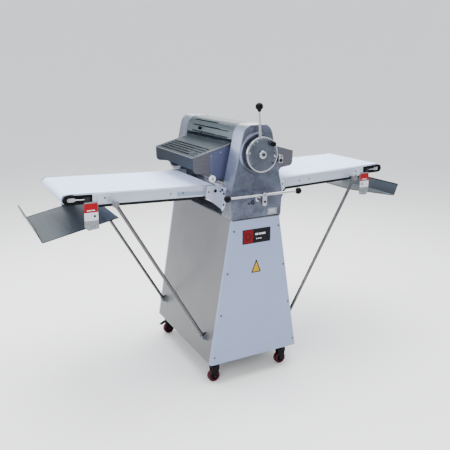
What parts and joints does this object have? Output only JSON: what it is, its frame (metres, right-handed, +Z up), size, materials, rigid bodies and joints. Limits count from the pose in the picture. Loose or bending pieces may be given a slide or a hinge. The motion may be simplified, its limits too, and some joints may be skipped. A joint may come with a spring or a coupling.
{
  "type": "dough sheeter",
  "caption": "Floor-standing reversible dough sheeter: tapered cabinet on casters, roller head with gap dial and lever, hinged guards, and belt tables on struts with catch pans.",
  "frame": {"origin": "centre of the overall box, on the floor under the casters", "axes": "+Z up, +X along the belts to the operator's right, -Y towards the operator (dial side)"},
  "size_m": [1.9558, 0.7815, 1.3422],
  "materials": {
    "cabinet_paint": "semi-gloss light grey-blue powder coat",
    "hammered_casting": "hammered metallic grey paint on a casting",
    "stainless": "brushed stainless sheet",
    "bright_steel": "polished or chromed steel",
    "rail_aluminium": "satin anodised rail",
    "belt_white": "white coated conveyor belting",
    "black_plastic": "moulded black knob",
    "black_rubber": "black rubber",
    "caster_maroon": "dark red-brown caster tyre",
    "cast_iron_grey": "plain dark grey machine paint",
    "scraper_white": "food-grade plastic"
  },
  "bodies": {
    "stand": {"stand_frame": "cast_iron_grey", "front_panel": "cabinet_paint", "rear_panel": "cabinet_paint", "left_panel": "cabinet_paint", "right_panel": "cabinet_paint", "top_deck": "hammered_casting", "cable_gland": "black_plastic", "motor": "cast_iron_grey", "drive_belt": "black_rubber", "front_casting": "hammered_casting", "rear_casting": "hammered_casting", "tie_bar_left": "bright_steel", "tie_bar_right": "bright_steel", "top_cover": "stainless", "lower_scraper": "scraper_white", "left_table_carrier": "bright_steel", "right_table_carrier": "bright_steel"},
    "main_roller": {"lower_roller": "bright_steel", "roller_pulley": "cast_iron_grey"},
    "motor_rotor": {"motor_pulley": "cast_iron_grey"},
    "upper_carriage": {"front_bearing_block": "cast_iron_grey", "rear_bearing_block": "cast_iron_grey", "upper_scraper": "scraper_white"},
    "pressing_roller": {"upper_roller": "bright_steel"},
    "gap_control": {"gap_dial": "hammered_casting", "gap_shaft": "bright_steel", "gap_lever": "bright_steel", "lever_ball": "black_plastic"},
    "stop_clamp": {"stop_knob": "black_plastic"},
    "reversing_lever": {"bar_bracket": "cast_iron_grey", "reversing_bar": "bright_steel", "bar_knob_left": "black_plastic", "bar_knob_right": "black_plastic"},
    "left_guard": {"left_guard": "stainless"},
    "left_table": {"left_table_frame": "rail_aluminium", "left_belt": "belt_white", "left_catch_pan": "stainless"},
    "left_drive_roller": {"left_drive_roller": "black_rubber"},
    "left_end_roller": {"left_end_roller": "bright_steel"},
    "left_strut_front": {"left_strut_front": "bright_steel"},
    "left_strut_rear": {"left_strut_rear": "bright_steel"},
    "right_guard": {"right_guard": "stainless"},
    "right_table": {"right_table_frame": "rail_aluminium", "right_belt": "belt_white", "right_catch_pan": "stainless"},
    "right_drive_roller": {"right_drive_roller": "black_rubber"},
    "right_end_roller": {"right_end_roller": "bright_steel"},
    "right_strut_front": {"right_strut_front": "bright_steel"},
    "right_strut_rear": {"right_strut_rear": "bright_steel"},
    "caster_front_left": {"caster_fork_front_left": "cast_iron_grey"},
    "wheel_front_left": {"caster_wheel_front_left": "caster_maroon"},
    "caster_front_right": {"caster_fork_front_right": "cast_iron_grey"},
    "wheel_front_right": {"caster_wheel_front_right": "caster_maroon"},
    "caster_rear_left": {"caster_fork_rear_left": "cast_iron_grey"},
    "wheel_rear_left": {"caster_wheel_rear_left": "caster_maroon"},
    "brake_rear_left": {"caster_brake_rear_left": "black_plastic"},
    "caster_rear_right": {"caster_fork_rear_right": "cast_iron_grey"},
    "wheel_rear_right": {"caster_wheel_rear_right": "caster_maroon"},
    "brake_rear_right": {"caster_brake_rear_right": "black_plastic"}
  },
  "joints": [
    {"name": "roller_spin", "type": "hinge", "parent": "stand", "child": "main_roller", "pos_m": [-0.0085, 0.0248, 0.923], "axis": [0, 1, 0], "continuous": true},
    {"name": "motor_spin", "type": "hinge", "parent": "stand", "child": "motor_rotor", "pos_m": [-0.0085, 0.3188, 0.45], "axis": [0, 1, 0], "continuous": true},
    {"name": "gap_lever_turn", "type": "hinge", "parent": "stand", "child": "gap_control", "pos_m": [-0.0085, -0.3532, 1.117], "axis": [0, 1, 0], "range_deg": [-110, 30]},
    {"name": "upper_roller_lift", "type": "slide", "parent": "stand", "child": "upper_carriage", "axis": [0, 0, 1], "range_m": [-0.0081, 0.0296]},
    {"name": "upper_roller_spin", "type": "hinge", "parent": "upper_carriage", "child": "pressing_roller", "pos_m": [-0.0085, 0.0248, 1.0115], "axis": [0, 1, 0], "continuous": true},
    {"name": "stop_knob_turn", "type": "hinge", "parent": "gap_control", "child": "stop_clamp", "pos_m": [0.03977, -0.3532, 1.16201], "axis": [0, 1, 0], "range_deg": [0, 180]},
    {"name": "reversing_bar_tilt", "type": "hinge", "parent": "stand", "child": "reversing_lever", "pos_m": [-0.0065, -0.3752, 0.908], "axis": [0, 1, 0], "range_deg": [-12, 12]},
    {"name": "left_guard_lift", "type": "hinge", "parent": "stand", "child": "left_guard", "pos_m": [-0.0865, 0.0248, 1.15], "axis": [0, 1, 0], "range_deg": [0, 80]},
    {"name": "left_table_fold", "type": "hinge", "parent": "stand", "child": "left_table", "pos_m": [-0.1735, 0.0248, 0.9435], "axis": [0, 1, 0], "range_deg": [0, 30]},
    {"name": "left_drive_roller_spin", "type": "hinge", "parent": "stand", "child": "left_drive_roller", "pos_m": [-0.1735, 0.0248, 0.9435], "axis": [0, 1, 0], "continuous": true},
    {"name": "left_end_roller_spin", "type": "hinge", "parent": "left_table", "child": "left_end_roller", "pos_m": [-0.83815, 0.0248, 0.9652], "axis": [0, 1, 0], "continuous": true},
    {"name": "left_strut_front_swing", "type": "hinge", "parent": "left_table", "child": "left_strut_front", "pos_m": [-0.6485, -0.2352, 0.937], "axis": [0, 1, 0], "range_deg": [0, 115]},
    {"name": "left_strut_rear_swing", "type": "hinge", "parent": "left_table", "child": "left_strut_rear", "pos_m": [-0.6485, 0.2848, 0.937], "axis": [0, 1, 0], "range_deg": [0, 115]},
    {"name": "right_guard_lift", "type": "hinge", "parent": "stand", "child": "right_guard", "pos_m": [0.0695, 0.0248, 1.15], "axis": [0, -1, 0], "range_deg": [0, 80]},
    {"name": "right_table_fold", "type": "hinge", "parent": "stand", "child": "right_table", "pos_m": [0.1565, 0.0248, 0.9435], "axis": [0, -1, 0], "range_deg": [0, 30]},
    {"name": "right_drive_roller_spin", "type": "hinge", "parent": "stand", "child": "right_drive_roller", "pos_m": [0.1565, 0.0248, 0.9435], "axis": [0, 1, 0], "continuous": true},
    {"name": "right_end_roller_spin", "type": "hinge", "parent": "right_table", "child": "right_end_roller", "pos_m": [0.82115, 0.0248, 0.9652], "axis": [0, 1, 0], "continuous": true},
    {"name": "right_strut_front_swing", "type": "hinge", "parent": "right_table", "child": "right_strut_front", "pos_m": [0.6315, -0.2352, 0.937], "axis": [0, -1, 0], "range_deg": [0, 115]},
    {"name": "right_strut_rear_swing", "type": "hinge", "parent": "right_table", "child": "right_strut_rear", "pos_m": [0.6315, 0.2848, 0.937], "axis": [0, -1, 0], "range_deg": [0, 115]},
    {"name": "caster_swivel_front_left", "type": "hinge", "parent": "stand", "child": "caster_front_left", "pos_m": [-0.2005, -0.2682, 0.09], "axis": [0, 0, 1], "continuous": true},
    {"name": "wheel_roll_front_left", "type": "hinge", "parent": "caster_front_left", "child": "wheel_front_left", "pos_m": [-0.2125, -0.2682, 0.031], "axis": [0, 1, 0], "continuous": true},
    {"name": "caster_swivel_front_right", "type": "hinge", "parent": "stand", "child": "caster_front_right", "pos_m": [0.1835, -0.2682, 0.09], "axis": [0, 0, 1], "continuous": true},
    {"name": "wheel_roll_front_right", "type": "hinge", "parent": "caster_front_right", "child": "wheel_front_right", "pos_m": [0.1715, -0.2682, 0.031], "axis": [0, 1, 0], "continuous": true},
    {"name": "caster_swivel_rear_left", "type": "hinge", "parent": "stand", "child": "caster_rear_left", "pos_m": [-0.2005, 0.3178, 0.09], "axis": [0, 0, 1], "continuous": true},
    {"name": "wheel_roll_rear_left", "type": "hinge", "parent": "caster_rear_left", "child": "wheel_rear_left", "pos_m": [-0.2125, 0.3178, 0.031], "axis": [0, 1, 0], "continuous": true},
    {"name": "caster_brake_rear_left_press", "type": "hinge", "parent": "caster_rear_left", "child": "brake_rear_left", "pos_m": [-0.2305, 0.3178, 0.0755], "axis": [0, -1, 0], "range_deg": [0, 8]},
    {"name": "caster_swivel_rear_right", "type": "hinge", "parent": "stand", "child": "caster_rear_right", "pos_m": [0.1835, 0.3178, 0.09], "axis": [0, 0, 1], "continuous": true},
    {"name": "wheel_roll_rear_right", "type": "hinge", "parent": "caster_rear_right", "child": "wheel_rear_right", "pos_m": [0.1715, 0.3178, 0.031], "axis": [0, 1, 0], "continuous": true},
    {"name": "caster_brake_rear_right_press", "type": "hinge", "parent": "caster_rear_right", "child": "brake_rear_right", "pos_m": [0.1535, 0.3178, 0.0755], "axis": [0, -1, 0], "range_deg": [0, 8]}
  ],
  "couplings": [
    {"joint": "motor_spin", "follows": "roller_spin", "ratio": 1.5714},
    {"joint": "upper_roller_spin", "follows": "roller_spin", "ratio": -1},
    {"joint": "upper_roller_lift", "follows": "gap_lever_turn", "m_per_rad": -0.01535},
    {"joint": "left_drive_roller_spin", "follows": "roller_spin", "ratio": 1.7778},
    {"joint": "left_end_roller_spin", "follows": "roller_spin", "ratio": 1.7778},
    {"joint": "right_drive_roller_spin", "follows": "roller_spin", "ratio": 1.7778},
    {"joint": "right_end_roller_spin", "follows": "roller_spin", "ratio": 1.7778}
  ]
}
